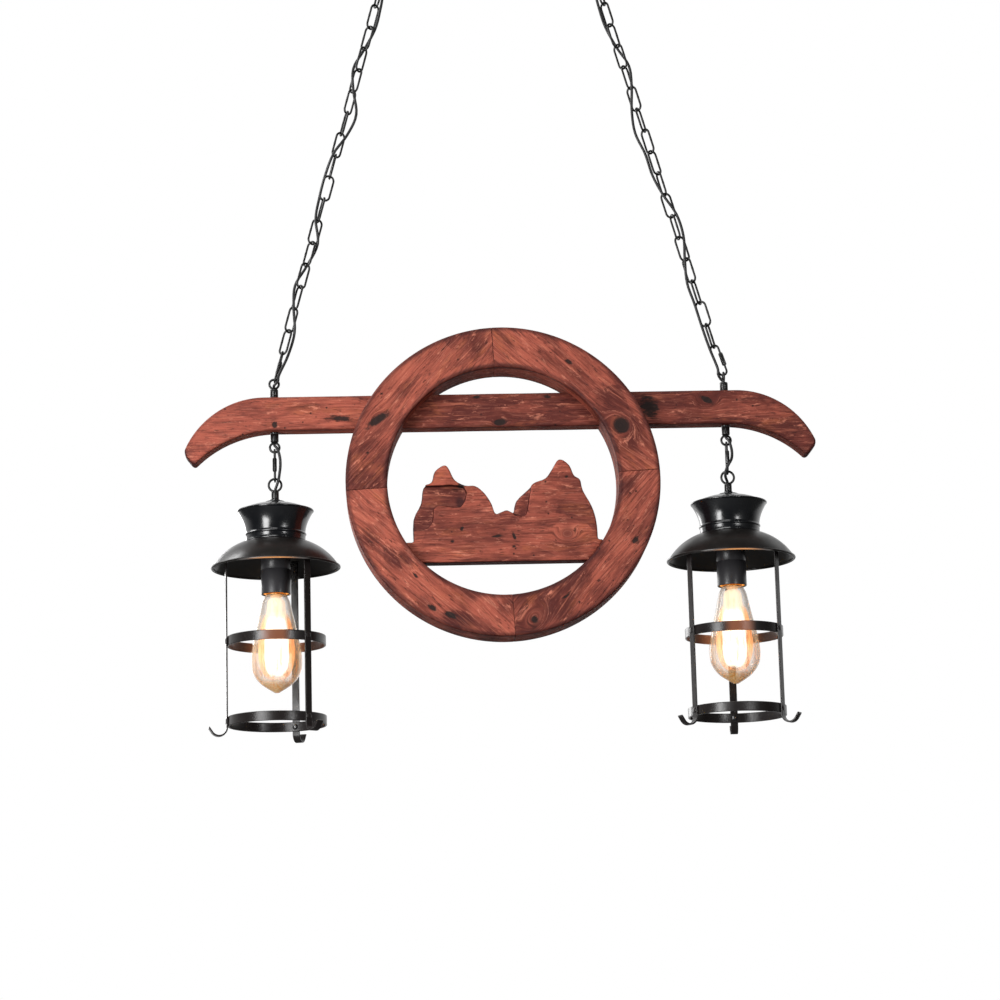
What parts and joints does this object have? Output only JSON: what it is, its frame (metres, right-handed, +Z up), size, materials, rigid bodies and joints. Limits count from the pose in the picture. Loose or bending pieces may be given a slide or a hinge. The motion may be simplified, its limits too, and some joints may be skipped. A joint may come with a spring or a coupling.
{
  "type": "lantern pendant light",
  "caption": "Ceiling pendant with a wooden yoke beam and ring, a carved mountain board, chains, and open black lanterns with lit amber bulbs.",
  "frame": {"origin": "centre of the ceiling bracket's top face, on the ceiling", "axes": "+X along the beam to the viewer's right, +Y away from the viewer, +Z up"},
  "size_m": [0.8, 0.1647, 1.0312],
  "materials": {
    "wood_ring": "stained and lacquered, satin",
    "wood_beam": "stained and lacquered, satin",
    "wood_board": "stained and lacquered, satin",
    "black_paint": "black paint, semi-gloss",
    "cage_black": "black powder coat, satin",
    "chain_black": "black paint, semi-gloss",
    "strap_steel": "zinc plated",
    "screw_steel": "zinc plated",
    "socket_black": "black, smooth satin",
    "cord_black": "black, smooth",
    "grip_black": "black, smooth",
    "terminal_white": "white, smooth",
    "amber_glass": "clear amber, glossy",
    "clear_glass": "clear, glossy",
    "base_brass": "plain, satin",
    "filament_glow": "glowing"
  },
  "bodies": {
    "ceiling": {"ceiling_bracket": "strap_steel", "canopy": "black_paint", "canopy_screws": "black_paint", "ceiling_eye_left": "black_paint", "ceiling_eye_right": "black_paint", "terminal_block": "terminal_white", "cord_grips": "grip_black"},
    "frame": {"beam": "wood_beam", "ring_top_right": "wood_ring", "ring_top_left": "wood_ring", "ring_bottom_left": "wood_ring", "ring_bottom_right": "wood_ring", "mountain_back": "wood_board", "mountain_front": "wood_board", "frame_screws": "screw_steel", "chain_left": "chain_black", "top_link_left": "chain_black", "cord_upper_left": "cord_black", "tube_left": "screw_steel", "upper_eye_left": "chain_black", "lower_eye_left": "chain_black", "cord_lower_left": "cord_black", "chain_right": "chain_black", "top_link_right": "chain_black", "cord_upper_right": "cord_black", "tube_right": "screw_steel", "upper_eye_right": "chain_black", "lower_eye_right": "chain_black", "cord_lower_right": "cord_black"},
    "link_left": {"link_left": "chain_black"},
    "loop_left": {"lamp_loop_left": "chain_black"},
    "lantern_left": {"stem_left": "black_paint", "crown_left": "black_paint", "shade_left": "black_paint", "socket_left": "socket_black", "legs_left": "cage_black", "middle_ring_left": "cage_black", "lower_ring_left": "cage_black", "rivets_left": "cage_black"},
    "bulb_left": {"bulb_glass_left": "amber_glass", "bulb_base_left": "base_brass", "bulb_stem_left": "clear_glass", "filament_left": "filament_glow"},
    "link_right": {"link_right": "chain_black"},
    "loop_right": {"lamp_loop_right": "chain_black"},
    "lantern_right": {"stem_right": "black_paint", "crown_right": "black_paint", "shade_right": "black_paint", "socket_right": "socket_black", "legs_right": "cage_black", "middle_ring_right": "cage_black", "lower_ring_right": "cage_black", "rivets_right": "cage_black"},
    "bulb_right": {"bulb_glass_right": "amber_glass", "bulb_base_right": "base_brass", "bulb_stem_right": "clear_glass", "filament_right": "filament_glow"}
  },
  "joints": [
    {"name": "frame_swing", "type": "hinge", "parent": "ceiling", "child": "frame", "pos_m": [0, 0, -0.0501], "axis": [1, 0, 0], "range_deg": [-15, 15], "deforming": ["cord_upper_left", "cord_upper_right"]},
    {"name": "link_swing_left", "type": "hinge", "parent": "frame", "child": "link_left", "pos_m": [-0.286, 0, -0.6711], "axis": [1, 0, 0], "range_deg": [-20, 20], "deforming": ["cord_lower_left"]},
    {"name": "loop_swing_left", "type": "hinge", "parent": "link_left", "child": "loop_left", "pos_m": [-0.286, 0, -0.7086], "axis": [0, 1, 0], "range_deg": [-8, 20]},
    {"name": "lantern_turn_left", "type": "hinge", "parent": "loop_left", "child": "lantern_left", "pos_m": [-0.286, 0, -0.7254], "axis": [0, 0, 1], "range_deg": [-40, 40]},
    {"name": "bulb_turn_left", "type": "hinge", "parent": "lantern_left", "child": "bulb_left", "pos_m": [-0.286, 0, -0.8544], "axis": [0, 0, 1], "range_deg": [-360, 0]},
    {"name": "link_swing_right", "type": "hinge", "parent": "frame", "child": "link_right", "pos_m": [0.286, 0, -0.6711], "axis": [1, 0, 0], "range_deg": [-20, 20], "deforming": ["cord_lower_right"]},
    {"name": "loop_swing_right", "type": "hinge", "parent": "link_right", "child": "loop_right", "pos_m": [0.286, 0, -0.7086], "axis": [0, 1, 0], "range_deg": [-20, 8]},
    {"name": "lantern_turn_right", "type": "hinge", "parent": "loop_right", "child": "lantern_right", "pos_m": [0.286, 0, -0.7254], "axis": [0, 0, 1], "range_deg": [-40, 40]},
    {"name": "bulb_turn_right", "type": "hinge", "parent": "lantern_right", "child": "bulb_right", "pos_m": [0.286, 0, -0.8544], "axis": [0, 0, 1], "range_deg": [-360, 0]}
  ]
}
